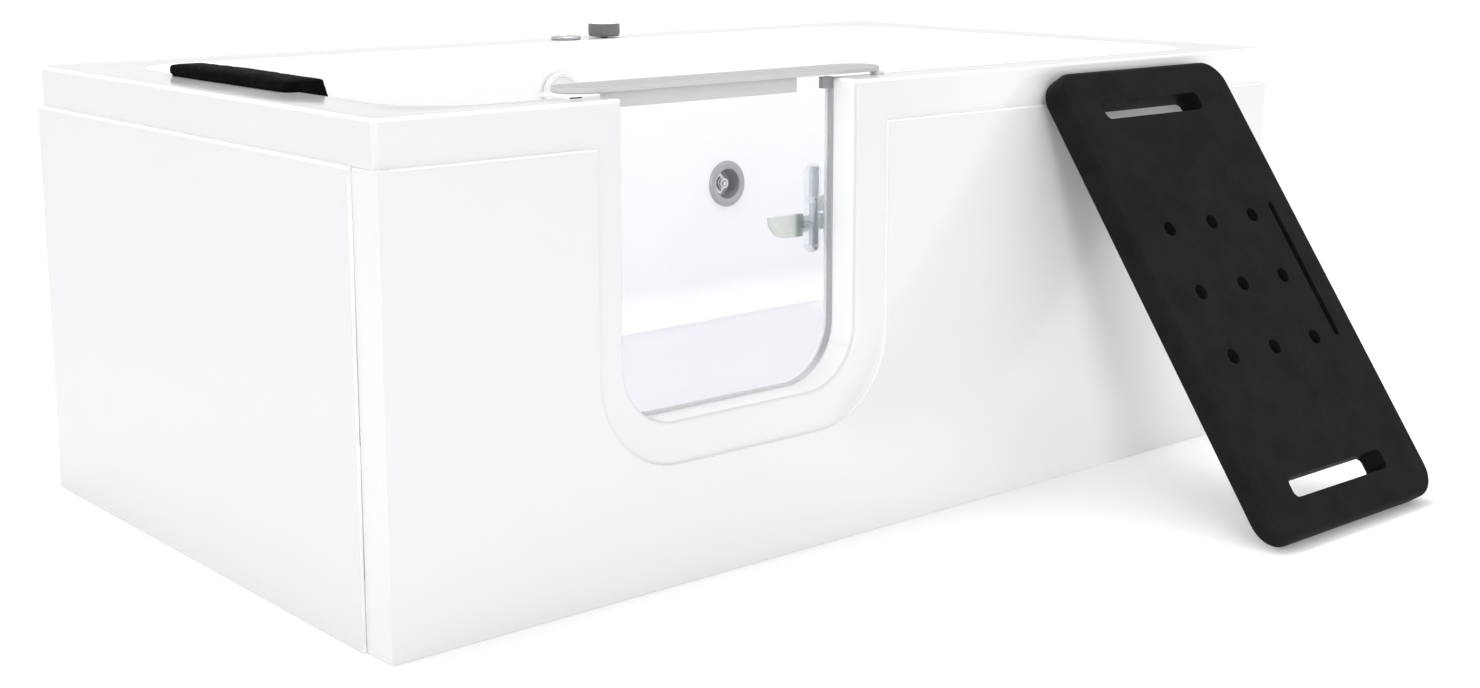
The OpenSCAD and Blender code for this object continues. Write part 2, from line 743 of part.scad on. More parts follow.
// The clear back plate with the lever's boss
module latch_case() color([0.93, 0.95, 0.96]) difference() {
    union() {
        along_y(glass_in, glass_in + case_t) translate([case_x, case_z]) oblong(latch_w, latch_h);
        from_glass(latch_x, latch_z) cylinder(r = rod_w / 2 - 0.4, h = lever_y - glass_in - soft_gap);
    }
    from_glass(latch_x, latch_z) translate([0, 0, 1]) cylinder(r = latch_pin_r + fit, h = 40);
    for (z = latch_screw_z) from_glass(rod_x, z) translate([0, 0, 1]) cylinder(r = 2, h = 40);
}

// The two white blocks on the plate that hold the rods and take the screws
module latch_blocks() color(white) for (z = latch_screw_z) difference() {
    box([rod_x - rod_w / 2 - 2, glass_in + case_t, z - block_h / 2],
        [rod_x + rod_w / 2 + 2, glass_in + case_t + rod_w + 1, z + block_h / 2]);
    from_glass(rod_x, z) cylinder(r = 2, h = 40);
}

// Two upright grey rods on the plate, one from block to block and one above the upper block
module latch_rods() color(alu) {
    top = case_z + latch_h / 2 - 6;
    low = latch_screw_z + [block_h / 2, block_h / 2];
    high = [latch_screw_z[1] - block_h / 2, top];
    for (i = [0, 1]) translate([rod_x, glass_in + case_t + rod_w / 2, low[i]])
        linear_extrude(high[i] - low[i]) {
            circle(rod_w / 2);
            translate([-rod_w / 2, -rod_w / 2]) square([rod_w, rod_w / 2]);
        }
}

module latch_pin() color(steel) from_glass(latch_x, latch_z) {
    reach = lever_y + lever_t - glass_in + soft_gap;
    translate([0, 0, 1.2]) cylinder(r = latch_pin_r, h = reach);
    translate([0, 0, reach]) cylinder(r = latch_pin_r + 2.5, h = 2);
}

module latch_screws() color(steel) for (z = latch_screw_z) from_glass(rod_x, z) {
    head = case_t + rod_w + 1;
    translate([0, 0, 1.2]) cylinder(r = 1.9, h = head);
    translate([0, 0, head]) cylinder(r = 3.4, h = 0.6);
}

// A finger paddle with one round corner on one side of the pivot, the locking tongue on the other
module latch_lever() color([0.85, 0.88, 0.86]) difference() {
    along_y(lever_y, lever_y + lever_t) translate([latch_x, latch_z]) {
        intersection() {
            translate([paddle_r - paddle_l, 13]) circle(paddle_r);
            translate([-paddle_l, 13 - paddle_r]) square([paddle_r + 1, paddle_r]);
        }
        translate([paddle_r - paddle_l, 13 - paddle_r]) square([paddle_l - paddle_r, paddle_r]);
        circle(10);
        translate([0, -tongue_h / 2]) square([tongue_l - 4, tongue_h]);
        translate([tongue_l - 4, 4 - tongue_h / 2]) square([4, tongue_h - 8]);
        for (s = [-1, 1]) translate([tongue_l - 4, s * (tongue_h / 2 - 4)]) circle(4);
    }
    from_glass(latch_x, latch_z) cylinder(r = latch_pin_r + fit, h = 60);
}

// The keeper's hook stands above the resting tongue, which turns up behind it to lock
module latch_keeper() color(chrome) {
    hook_y = lever_y + lever_t + 1;
    web_x = keeper_x + keeper_w - 16;
    difference() {
        box([keeper_x, wall_y, keeper_low], [keeper_x + keeper_w, wall_y + leaf_t, keeper_high]);
        wall_screw_bores();
    }
    box([web_x, wall_y + leaf_t - eps, keeper_low], [web_x + 4, hook_y + leaf_t, keeper_high]);
    box([keeper_x - 2, hook_y, latch_z + tongue_h / 2 + 2], [web_x + eps, hook_y + leaf_t, keeper_high]);
}

// ---------------------------------------------------------------- water fittings

// The waste's flange and neck, with a seat for the plug
module waste_flange() color(chrome) translate([waste_x, 0, basin_floor_h]) rotate_extrude($fn = 72) {
    bore = waste_bore_r - 8;
    polygon([[bore, 1], [bore, -6], [bore + 3, -9], [bore + 3, -waste_neck_h], [waste_bore_r, -waste_neck_h],
        [waste_bore_r, 0], [waste_r, 0], [waste_r - 1.5, 2], [bore + 4, 3]]);
}

// Body, cup trap, outlet socket and overflow socket in one moulding
module waste_trap() color([0.85, 0.85, 0.84]) translate([waste_x, 0, 0]) {
    body_top = basin_floor_h - waste_neck_h - soft_gap;
    guide_h = 8;
    bore_end = overflow_pipe_r - 3;
    difference() {
        union() {
            translate([0, 0, trap_low]) cylinder(r = waste_bore_r + 6, h = body_top - trap_low);
            translate([trap_in, 0, trap_z]) rotate([0, 90, 0])
                cylinder(r = waste_pipe_r + 4, h = outlet_l - trap_in);
            translate([0, trap_in, low_pipe_z]) rotate([-90, 0, 0])
                cylinder(r = overflow_pipe_r + 3, h = socket_y + 25 - trap_in);
        }
        translate([0, 0, trap_low + 3]) cylinder(r = waste_bore_r, h = body_top);
        translate([trap_in, 0, trap_z]) rotate([0, 90, 0]) cylinder(r = waste_pipe_r - 3, h = outlet_l);
        translate([outlet_l - waste_socket_l, 0, trap_z]) rotate([0, 90, 0])
            cylinder(r = waste_pipe_r + 0.1, h = waste_socket_l + cut);
        translate([0, trap_in, low_pipe_z]) rotate([-90, 0, 0])
            cylinder(r = bore_end, h = socket_y + 25 + cut - trap_in);
        translate([0, socket_y, low_pipe_z]) rotate([-90, 0, 0])
            cylinder(r = overflow_pipe_r + 0.1, h = 25 + cut);
    }
    translate([0, 0, body_top - guide_h]) difference() {
        union() {
            cylinder(r = 7, h = guide_h);
            for (a = [30, 150, 270]) rotate([0, 0, a])
                translate([0, -1.5, 0]) cube([waste_bore_r + 1, 3, guide_h - 1]);
        }
        translate([0, 0, -cut]) cylinder(r = plug_stem_r + fit, h = guide_h + 2 * cut);
    }
}

module drain_plug() color(chrome) translate([waste_x, 0, basin_floor_h]) {
    rotate_extrude($fn = 72) polygon([[0, 1.5], [waste_bore_r - 8.6, 1.5], [waste_bore_r - 4.2, 3.6],
        [waste_bore_r - 3, 4.6], [waste_bore_r - 3.6, 6.2], [14, 8], [0, 8.6]]);
    translate([0, 0, -46]) cylinder(r = plug_stem_r, h = 48);
}

// The overflow's socket behind the wall, from the far wall's flange to the pipe's axis
module overflow_body() color([0.85, 0.85, 0.84]) difference() {
    union() {
        on_far_wall(overflow_x, overflow_y, overflow_z) {
            translate([0, 0, -overflow_depth]) cylinder(r = overflow_neck_r, h = overflow_depth + 3);
            translate([0, 0, -shell_t - 14]) cylinder(r = 27, h = 13.5);
            translate([0, 0, soft_gap / 3]) cylinder(r = 24, h = 3 - soft_gap / 3);
        }
        translate([overflow_x, pipe_y, overflow_z - socket_low])
            cylinder(r = overflow_pipe_r + 3, h = socket_low + overflow_neck_r * 2);
    }
    on_far_wall(overflow_x, overflow_y, overflow_z) {
        translate([0, 0, -shell_t - 8]) cylinder(r = 12, h = 30);
        translate([0, 0, -overflow_depth]) cylinder(r = 5 + fit, h = overflow_depth + 10);
    }
    translate([overflow_x, pipe_y, overflow_z - socket_low - cut])
        cylinder(r = overflow_pipe_r + 0.1, h = socket_low - overflow_grip + 1 + cut);
}

function overflow_route() = [[overflow_x, pipe_y, overflow_z - overflow_grip], [overflow_x, pipe_y, low_pipe_z],
    [waste_x, pipe_y, low_pipe_z], [waste_x, socket_y + soft_gap, low_pipe_z]];

module overflow_pipe() color([0.85, 0.85, 0.84]) pipe_run(overflow_route(), overflow_pipe_r, 40);

// A turning cover: it works the plug through the overflow
module overflow_cover() color(white) on_far_wall(overflow_x, overflow_y, overflow_z) {
    difference() {
        rotate_extrude($fn = 72) {
            polygon([[0, 7], [overflow_r - 4, 7], [overflow_r - 4, 3 + soft_gap], [overflow_r, 3 + soft_gap],
                [overflow_r, 9.5], [overflow_r - 1.5, 11], [overflow_r - 6, 11], [overflow_r - 8, 9.6], [0, 9.6]]);
        }
        for (a = [60:60:300]) rotate([0, 0, a]) translate([overflow_r - 6, -4, 0]) cube([20, 8, 5.5]);
    }
    translate([0, 0, -shell_t - 10]) cylinder(r = 5, h = shell_t + 18);
}

module inlet_flange() color(chrome) on_far_wall(inlet_x, inlet_y, inlet_z) rotate_extrude($fn = 96)
    polygon([[0, -bowl_d - 3], [inlet_neck_r, -bowl_d - 3], [inlet_neck_r, 0.1], [inlet_r, 0.1],
        [inlet_r, 1.2], [inlet_r - 2.5, 3.4], [inlet_r - 6, 4], [inlet_neck_r, 3.6],
        [inlet_neck_r - 2, 3], [inlet_neck_r - 6, -bowl_d], [0, -bowl_d]]);

// The nozzle in the bowl: a hub with a ring on a kite-shaped bridge
module inlet_nozzle() color(chrome) on_far_wall(inlet_x, inlet_y, inlet_z) translate([0, 0, -bowl_d]) {
    difference() {
        cylinder(r = 8.5, h = 13);
        translate([0, 0, 10]) cylinder(r = 5.6, h = 10);
    }
    cylinder(r = 3.4, h = 14.5);
    difference() {
        linear_extrude(8) polygon([[-19, 2], [-14, 13], [-4, 18], [11, 0], [-4, -18], [-14, -13], [-19, -2]]);
        translate([0, 0, 3]) linear_extrude(9) difference() {
            circle(13.5);
            circle(9.8);
            translate([-4, -20]) square([40, 40]);
        }
    }
}

module inlet_body() color([0.85, 0.85, 0.84]) {
    on_far_wall(inlet_x, inlet_y, inlet_z) translate([0, 0, -bowl_d - 3 - 24]) cylinder(r = 19, h = 24);
    translate([inlet_x - inlet_knee, inlet_pipe_y, inlet_z]) rotate([0, 90, 0]) difference() {
        cylinder(r = water_pipe_r + 4, h = inlet_knee - 8);
        translate([0, 0, -cut]) cylinder(r = water_pipe_r + 0.1, h = cut + 14);
    }
}

module inlet_nut() color(steel) on_far_wall(inlet_x, inlet_y, inlet_z)
    translate([0, 0, -shell_t - 8]) difference() {
        cylinder(r = 35, h = 8, $fn = 8);
        translate([0, 0, -cut]) cylinder(r = inlet_neck_r + 0.2, h = 8 + 2 * cut);
    }

function inlet_route() = [[knob_x, inlet_pipe_y, valve_low - 2], [knob_x, inlet_pipe_y, inlet_z],
    [inlet_x - inlet_knee + 13, inlet_pipe_y, inlet_z]];

module inlet_pipe() color([0.8, 0.5, 0.35]) pipe_run(inlet_route(), water_pipe_r, 22);

// The valve hangs in the deck on its threaded neck, with two supply tails towards the wall
module water_valve() color([0.78, 0.66, 0.35]) difference() {
    union() {
        translate([knob_x, deck_y, 0]) {
            translate([0, 0, deck_z - 12]) cylinder(r = valve_neck_r, h = shell_t + 12);
            translate([0, 0, valve_low]) cylinder(r = 21, h = deck_z - 12 - valve_low + eps);
            translate([-tail_x, 0, tail_z]) rotate([0, 90, 0]) cylinder(r = 9, h = 2 * tail_x);
            for (s = [-1, 1]) translate([s * tail_x, -collar_l, tail_z]) rotate([-90, 0, 0]) {
                cylinder(r = tail_r + 3, h = 2 * collar_l);
                cylinder(r = tail_r, h = 2 * collar_l + tail_l);
            }
        }
        translate([knob_x, inlet_pipe_y, valve_low - 12]) cylinder(r = water_pipe_r + 4, h = 12 + eps);
    }
    translate([knob_x, deck_y, deck_z - spindle_h]) cylinder(r = 5 + fit, h = spindle_h + shell_t + cut);
    translate([knob_x, inlet_pipe_y, valve_low - 12 - cut]) cylinder(r = water_pipe_r + 0.1, h = cut + 11);
}

module valve_nut() color(steel) for (p = [[knob_x, valve_neck_r + 0.1, 21], [ring_x, air_neck_r + 0.1, 16]])
    translate([p[0], deck_y, deck_z - 6]) difference() {
        cylinder(r = p[2], h = 6, $fn = 6);
        translate([0, 0, -cut]) cylinder(r = p[1], h = 20);
    }

module deck_knob() color([0.44, 0.43, 0.45]) translate([knob_x, deck_y, rim_h]) {
    rotate_extrude($fn = 72) polygon([[0, 2.4], [knob_r - 2, 2.4], [knob_r - 0.6, 4], [knob_r, knob_h / 2],
        [knob_r - 0.3, knob_h - 3], [knob_r - 1.6, knob_h - 0.6], [knob_r - 4, knob_h], [0, knob_h]]);
    translate([0, 0, -22]) cylinder(r = 5, h = 26);
}

// The air regulator's neck and its turning ring with a peg
module air_regulator() color([0.85, 0.85, 0.84]) difference() {
    translate([ring_x, deck_y, deck_z - 40]) {
        cylinder(r = 12, h = 34);
        cylinder(r = air_neck_r, h = shell_t + 40);
    }
    translate([ring_x, deck_y, deck_z - 20]) cylinder(r = 4 + fit, h = 60);
}

module air_ring() color([0.86, 0.86, 0.87]) translate([ring_x, deck_y, rim_h]) {
    rotate_extrude($fn = 72) polygon([[0, 0.4], [ring_r - 1, 0.4], [ring_r, 1.4], [ring_r, 4], [ring_r - 1, 5],
        [ring_r - 5, 5], [ring_r - 6, 4.2], [0, 4.2]]);
    translate([0, 0, -20]) cylinder(r = 4, h = 21);
}

module air_ring_peg() color(black) translate([ring_x + ring_r, deck_y, rim_h + 3])
    rotate([0, 90, 0]) cylinder(r = 2, h = 3);

// ---------------------------------------------------------------- headrest and seat board

// The wall behind the headrest, its surface moved in by a gap
function head_wall(z) = basin_rim[0] + head_slope * (rim_h - z) / basin_rise;

// The headrest's section in x and z, counter-clockwise, shrunk by the distance s
function rest_section(s, crown) =
    let (top = rim_h + rest_top + crown, low = rim_h - rest_drop, gap = 1 + s, r = 3,
        x_out = basin_rim[0] - rest_lap + s, slope = head_slope / basin_rise,
        x_in = basin_rim[0] + rest_t)
    concat(
        [[x_out, rim_h + 0.5 + s], [basin_rim[0] - inner_edge_r, rim_h + 0.5 + s]],
        [for (a = [60:-30:0]) let (z = rim_h - inner_edge_r + (inner_edge_r + gap) * sin(a))
            [head_wall(min(z, rim_h)) - inner_edge_r + (inner_edge_r + gap) * cos(a), z]],
        [[head_wall(low + r) + gap, low + r], [head_wall(low) + gap + 2, low + s],
            [head_wall(low) + rest_t - r - s, low + s], [head_wall(low + r) + rest_t - s, low + r]],
        [for (t = [0.25, 0.5, 0.75]) let (z = low + t * (top - low))
            [x_in + slope * (rim_h - z) + 1.6 * sin(180 * t) - s, z]],
        [for (a = [0:30:90]) [x_in - slope * (rest_top - r) - r - s + r * cos(a), top - r - s + r * sin(a)]],
        [for (a = [90:30:180]) [x_out + r + r * cos(a), top - r - s + r * sin(a)]]);

function rest_stations() = [[0, 2], [0.002, 0.8], [0.006, 0.2], [0.015, 0], [0.2, 0], [0.5, 0],
    [0.8, 0], [0.985, 0], [0.994, 0.2], [0.998, 0.8], [1, 2]];

module headrest() color(black) loft([for (s = rest_stations())
    [for (p = rest_section(s[1], 1.5 * sin(180 * s[0]))) [p[0], rest_y + rest_l * (0.5 - s[0]), p[1]]]]);

seat_half = seat_l / 2 - seat_edge;
seat_thin = seat_t / 2 - seat_edge;
seat_x = x_end - seat_in;
seat_z = seat_half * cos(seat_lean) + seat_thin * sin(seat_lean) + seat_edge;
seat_head_z = seat_z + seat_half * cos(seat_lean) - seat_thin * sin(seat_lean);
// Its upper edge leans on the lip's face, on the panel if it is short, or over the rim if it is long
seat_wall_y = seat_head_z < lip_z + seat_edge ? y_face - panel_t : y_face;
seat_reach = rim_edge_r + soft_gap + seat_edge;
seat_rise = max(0, seat_head_z - rim_h + rim_edge_r);
seat_touch = seat_rise < seat_reach * sin(seat_lean) ? sqrt(pow(seat_reach, 2) - pow(seat_rise, 2))
    : (seat_reach - seat_rise * sin(seat_lean)) / cos(seat_lean);
seat_y = seat_wall_y + rim_edge_r - seat_touch - seat_half * sin(seat_lean) - seat_thin * cos(seat_lean);
seat_pattern = -8;        // the pattern sits a little to the left of the board's middle
seat_pitch_x = 90;
seat_pitch_y = 92;
slot_side = 75.5;         // from the board's side to a slot's end
slot_end = 61.5;          // from the board's end to a slot's middle
slot_l = seat_w - 2 * slot_side;
slot_w = 27;
slot_y = seat_l / 2 - slot_end;
groove_side = 47;
groove_end = 230.5;
groove_x = seat_w / 2 - groove_side;
groove_l = seat_l - 2 * groove_end;

// The board lies in x and y with its outer face up, then leans on the rim's lip
module seat_board() color(black) translate([seat_x, seat_y, seat_z]) rotate([90 - seat_lean, 0, 0])
    difference() {
        for (m = [0, 1]) mirror([0, 0, m]) translate([0, 0, seat_t / 2])
            soft_slab(seat_w, seat_l, seat_t / 2, seat_r, seat_edge);
        for (s = [-1, 1]) translate([seat_pattern, s * slot_y, -seat_t / 2 - cut])
            linear_extrude(seat_t + 2 * cut) round_rect(slot_l, slot_w, 9);
        for (i = [-1:1], j = [-1:1])
            translate([seat_pattern + i * seat_pitch_x, j * seat_pitch_y, -seat_t / 2 - cut])
                cylinder(r = seat_hole_r, h = seat_t + 2 * cut);
        translate([groove_x, 4, seat_t / 2 - 10]) linear_extrude(10 + cut) oblong(11, groove_l);
    }

// ---------------------------------------------------------------- the assembly

bath_shell();
base_board();
cradle_rail(-1);  // cradle_rail_front
cradle_rail(1);  // cradle_rail_back
cradle_tube(-end_x, y_end - 18, [-foot_y, foot_y]);  // cradle_tube_head
cradle_tube(0, long_y - tube_w / 2, [0]);  // cradle_tube_middle
cradle_tube(end_x, y_end - 18, [-foot_y, foot_y]);  // cradle_tube_foot
post(-1, -1);  // post_head_front
post(-1, 1);  // post_head_back
post(1, -1);  // post_foot_front
post(1, 1);  // post_foot_back
level_foot(-end_x, -foot_y);  // level_foot_head_front
level_foot(-end_x, foot_y);  // level_foot_head_back
level_foot(end_x, -foot_y);  // level_foot_foot_front
level_foot(end_x, foot_y);  // level_foot_foot_back
level_foot(0, 0);  // level_foot_middle
foot_nuts();
front_panel();
end_panel();
panel_brackets();
door_gasket();
gasket_end_cap();
hinge_wall_leaf();
hinge_pin();
wall_screws();
wall_nuts();
hinge_end_block();
latch_keeper();
door_glass();
door_rail();
door_channel();
hinge_door_leaf();
rail_buffer();
latch_case();
latch_blocks();
latch_rods();
latch_pin();
latch_screws();
latch_lever();
waste_flange();
waste_trap();
drain_plug();
overflow_body();
overflow_pipe();
overflow_cover();
inlet_flange();
inlet_nozzle();
inlet_body();
inlet_nut();
inlet_pipe();
water_valve();
valve_nut();
deck_knob();
air_regulator();
air_ring();
air_ring_peg();
headrest();
seat_board();
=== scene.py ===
import bpy, bmesh, json, math
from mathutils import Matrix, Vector


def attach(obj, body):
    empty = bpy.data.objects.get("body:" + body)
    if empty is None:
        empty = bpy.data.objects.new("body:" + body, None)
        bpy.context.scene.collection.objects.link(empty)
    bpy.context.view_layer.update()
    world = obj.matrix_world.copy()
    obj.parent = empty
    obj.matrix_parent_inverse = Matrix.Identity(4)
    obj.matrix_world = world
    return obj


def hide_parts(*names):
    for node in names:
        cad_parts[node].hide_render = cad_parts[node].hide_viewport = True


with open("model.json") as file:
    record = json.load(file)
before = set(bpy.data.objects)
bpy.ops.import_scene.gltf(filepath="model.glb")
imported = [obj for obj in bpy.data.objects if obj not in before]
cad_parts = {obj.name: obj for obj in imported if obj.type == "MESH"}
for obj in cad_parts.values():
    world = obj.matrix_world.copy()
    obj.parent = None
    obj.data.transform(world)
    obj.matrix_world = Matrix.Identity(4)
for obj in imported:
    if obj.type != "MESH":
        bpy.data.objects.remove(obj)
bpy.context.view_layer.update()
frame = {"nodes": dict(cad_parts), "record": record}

NODES = frame["nodes"]
scene = bpy.context.scene

# ---------------------------------------------------------------- camera

# Fitted to the bath's corners in the photograph. The first three are in pixels of that picture,
# the place is in metres and the two angles are in degrees.
PHOTO_WIDTH = 1480.0
FOCAL_LENGTH = 1983.9
PICTURE_SHIFT = -100.0
SENSOR_MM = 36.0
CAMERA_PLACE = (-1.7513, -2.1449, 0.7827)
CAMERA_DIP = 9.818
CAMERA_TURN = -40.730

cam_data = bpy.data.cameras.new("camera")
cam_data.sensor_width = SENSOR_MM
cam_data.lens = FOCAL_LENGTH * SENSOR_MM / PHOTO_WIDTH
cam_data.shift_y = PICTURE_SHIFT / PHOTO_WIDTH
cam_data.clip_end = 60.0
cam = bpy.data.objects.new("camera", cam_data)
cam.location = CAMERA_PLACE
cam.rotation_euler = (math.radians(90 - CAMERA_DIP), 0, math.radians(CAMERA_TURN))
scene.collection.objects.link(cam)
scene.camera = cam

# ---------------------------------------------------------------- places where a tone changes

# (axis, start, end) in metres: the new tone sets in at the start and is full at the end; most of these tones
# are painted light and shade
BASIN_FLOOR_Z = 0.110
ABOVE_BASIN_FLOOR = ("Z", BASIN_FLOOR_Z + 0.0015, BASIN_FLOOR_Z + 0.003)
RIM_TOP = ("Z", 0.5690, 0.5697)
RIM_ROUNDING = ("Z", 0.5650, 0.5662)
RIM_BACK_EDGE = ("Y", 0.4205, 0.4215)
LIP_TOWARDS_FOOT = ("X", 0.0, 0.30)
LIP_HEAD_FACE = ("X", -0.7494, -0.7497)
BEHIND_LIP = (("Y", -0.4195, -0.4175), ("X", -0.7470, -0.7450))
DOORWAY = ("Y", -0.3300, -0.3340)
PANEL_HEAD_FACE = ("X", -0.7545, -0.7548)
PANEL_CUT_OUT = (("X", -0.7496, -0.7493), ("Y", -0.4294, -0.4291))
PANEL_GROOVE = (("X", -0.7501, -0.7503), ("X", -0.7548, -0.7546))
INLET_BRIDGE = (("Y", 0.3395, 0.3400), ("Y", 0.3505, 0.3500), ("X", 0.3360, 0.3365),
                ("X", 0.3680, 0.3675), ("Z", 0.3010, 0.3015), ("Z", 0.3395, 0.3390))
GASKET_SILL = ("Z", 0.235, 0.205)
LEVER_LENGTH = ("X", -0.130, -0.090)

# (axis, low, high) in metres: the insides of the hinge block's slot and bore, which get a painted dark shade
BLOCK_SLOT = (("X", -0.4912, -0.4758), ("Y", -0.4000, -0.3940), ("Z", 0.57095, 0.57245))
BLOCK_BORE = (("X", -0.4788, -0.4732), ("Y", -0.3480, -0.3424), ("Z", 0.5714, 0.5736))

# ---------------------------------------------------------------- material helpers

NOISE_LOW, NOISE_HIGH = 0.3, 0.7    # most of a noise pattern lies between these values
ACRYLIC_IOR = 1.49


def tone(colour, k):
    """A colour made lighter or darker, and never more than white."""
    return tuple(min(1.0, x * k) for x in colour)


class Mat:
    """A procedural material built round one Principled shader."""

    def __init__(self, name, colour, rough, metal=0.0, **sockets):
        self.m = bpy.data.materials.new(name)
        self.m.use_nodes = True
        self.nt = self.m.node_tree
        self.p = self.nt.nodes["Principled BSDF"]
        self.set("Base Color", (*colour, 1.0))
        self.set("Roughness", rough)
        self.set("Metallic", metal)
        for k, v in sockets.items():
            self.set(k.replace("_", " "), v)
        self.normal = None

    def set(self, socket, value):
        self.p.inputs[socket].default_value = value

    def drive(self, socket, source):
        self.feed(source, self.p.inputs[socket])

    def node(self, kind, **props):
        n = self.nt.nodes.new(kind)
        for k, v in props.items():
            setattr(n, k, v)
        return n

    def feed(self, source, socket):
        """Gives a socket another socket's output, or a plain value."""
        if isinstance(source, bpy.types.NodeSocket):
            self.nt.links.new(source, socket)
        else:
            socket.default_value = source

    def build(self, kind, output, inputs, **props):
        """Adds a node, fills its inputs and hands back one output."""
        n = self.node(kind, **props)
        for key, source in inputs.items():
            self.feed(source, n.inputs[key])
        return n.outputs[output]

    def coords(self, stretch=(1, 1, 1)):
        """The place in the frame, in metres, stretched for patterns with a grain."""
        place = self.node("ShaderNodeTexCoord").outputs["Object"]
        return self.build("ShaderNodeMapping", "Vector", {"Scale": stretch, "Vector": place})

    def part(self, vector, axis):
        """One of the three numbers of a vector."""
        return self.build("ShaderNodeSeparateXYZ", axis, {"Vector": vector})

    def normal_part(self, axis):
        return self.part(self.node("ShaderNodeTexCoord").outputs["Normal"], axis)

    def maths(self, operation, *terms):
        return self.build("ShaderNodeMath", 0, dict(enumerate(terms)), operation=operation)

    def run(self, value, source=(0.0, 1.0), target=(0.0, 1.0)):
        """Maps one range of a value to another, and stops at its ends."""
        return self.build("ShaderNodeMapRange", "Result", {
            "Value": value, "From Min": source[0], "From Max": source[1],
            "To Min": target[0], "To Max": target[1]})

    def blend(self, fac, low, high):
        return self.build("ShaderNodeMixRGB", "Color", {"Fac": fac, "Color1": low, "Color2": high})

    def noise(self, scale, detail=3.0, rough=0.5, stretch=(1, 1, 1)):
        return self.build("ShaderNodeTexNoise", "Fac", {
            "Scale": scale, "Detail": detail, "Roughness": rough, "Vector": self.coords(stretch)})

    def cells(self, scale):
        return self.build("ShaderNodeTexVoronoi", "Distance", {"Scale": scale, "Vector": self.coords()})

    def ramp(self, fac, stops):
        r = self.node("ShaderNodeValToRGB")
        elements = r.color_ramp.elements
        while len(elements) < len(stops):
            elements.new(0.5)
        for e, (position, colour) in zip(elements, stops):
            e.position = position
            e.color = (*colour, 1.0)
        self.feed(fac, r.inputs["Fac"])
        return r.outputs["Color"]

    def tones(self, fac, colour, low, high, start=NOISE_LOW, end=NOISE_HIGH):
        """Runs from one multiple of a colour to another as fac goes from start to end."""
        return self.ramp(fac, [(start, tone(colour, low)), (end, tone(colour, high))])

    def drift(self, colour, scale=3.0, spread=0.012):
        """A tone that wanders very slightly over the surface."""
        return self.tones(self.noise(scale), colour, 1 - spread, 1)

    def along(self, axis, start, end):
        """0 at the start and 1 at the end of a stretch of one coordinate."""
        return self.run(self.part(self.coords(), axis), (start, end))

    def where_all(self, stretches):
        """1 only where every one of several stretches is full."""
        total = self.along(*stretches[0])
        for stretch in stretches[1:]:
            total = self.maths("MULTIPLY", total, self.along(*stretch))
        return total

    def inside(self, box):
        """1 inside a sharp-edged box and 0 outside it."""
        total = 1.0
        for axis, low, high in box:
            place = self.part(self.coords(), axis)
            for operation, edge in (("GREATER_THAN", low), ("LESS_THAN", high)):
                total = self.maths("MULTIPLY", total, self.maths(operation, place, edge))
        return total

    def facing_up(self, start, end):
        """0 to 1 as the surface turns from upright to level, between two heights of its normal."""
        return self.run(self.normal_part("Z"), (start, end))

    def vary_rough(self, fac, low, high):
        self.drive("Roughness", self.run(fac, (NOISE_LOW, NOISE_HIGH), (low, high)))

    def bump(self, fac, distance, strength):
        inputs = {"Distance": distance, "Strength": strength, "Height": fac}
        if self.normal:
            inputs["Normal"] = self.normal
        self.normal = self.build("ShaderNodeBump", "Normal", inputs)
        self.drive("Normal", self.normal)


# ---------------------------------------------------------------- materials


def speckled(name, colour, rough, metal=0.0, spread=0.03, scale=30.0, bump=0.0, bump_scale=900.0):
    """A moulded, cast or painted surface: slow colour drift, uneven gloss and a fine grain."""
    m = Mat(name, colour, rough, metal)
    m.drive("Base Color", m.tones(m.noise(scale, 4.0), colour, 1 - spread, 1 + spread))
    m.vary_rough(m.noise(scale * 2.3), rough * 0.85, min(1.0, rough * 1.18))
    if bump:
        m.bump(m.noise(bump_scale, 2.0), bump, 0.6)
    return m.m


def brushed(name, colour, rough, axis, spread, metal, top=None):
    """Metal with fine brush lines along one axis; its upper face may get another tone, painted shade for how
    light falls on it.
    """
    m = Mat(name, colour, rough, metal)
    stretch = tuple(0.02 if letter == axis else 1 for letter in "XYZ")
    lines = m.noise(1500.0, 3.0, 0.6, stretch)
    shade = m.tones(lines, colour, 1 - spread, 1 + spread)
    if top:
        # painted shade: the upper face gets its own tone
        shade = m.blend(m.facing_up(0.6, 0.9), shade, m.tones(lines, top, 1 - spread, 1 + spread))
    m.drive("Base Color", shade)
    m.vary_rough(m.noise(700.0, 2.0, 0.5, stretch), rough * 0.8, rough * 1.25)
    m.bump(lines, 0.00004, 0.35)
    return m.m


def sanitary_gloss(name, colour, rough, least, most, coat=0.35, peel=0.12):
    """Glossy sanitary plastic: uneven gloss and a very faint orange peel under a hard clear skin."""
    m = Mat(name, colour, rough, Coat_Weight=coat, Coat_Roughness=0.06, IOR=ACRYLIC_IOR)
    m.vary_rough(m.noise(9.0), least, most)
    m.bump(m.noise(70.0, 2.0), 0.00012, peel)
    return m


def moulded_gloss(name, colour, rough):
    """Sanitary plastic of one tone."""
    m = sanitary_gloss(name, colour, rough, rough * 0.8, rough * 1.25)
    m.drive("Base Color", m.drift(colour))
    return m.m


def panel_gloss(name, colour, rough):
    """Panel moulding: a little greyer on the head end as painted shade, and paler down inside its gaps as
    painted light against the shade there.
    """
    m = sanitary_gloss(name, colour, rough, rough * 0.8, rough * 1.25)
    # painted light: the insides of the gaps are paler, against the shade in them
    pale = m.drift((0.96, 0.955, 0.96))
    # painted shade: the head end is greyer
    shade = m.blend(m.along(*PANEL_HEAD_FACE), m.drift(colour), m.drift(tone(colour, 0.94)))
    shade = m.blend(m.where_all(PANEL_CUT_OUT), shade, pale)
    m.drive("Base Color", m.blend(m.where_all(PANEL_GROOVE), shade, pale))
    return m.m


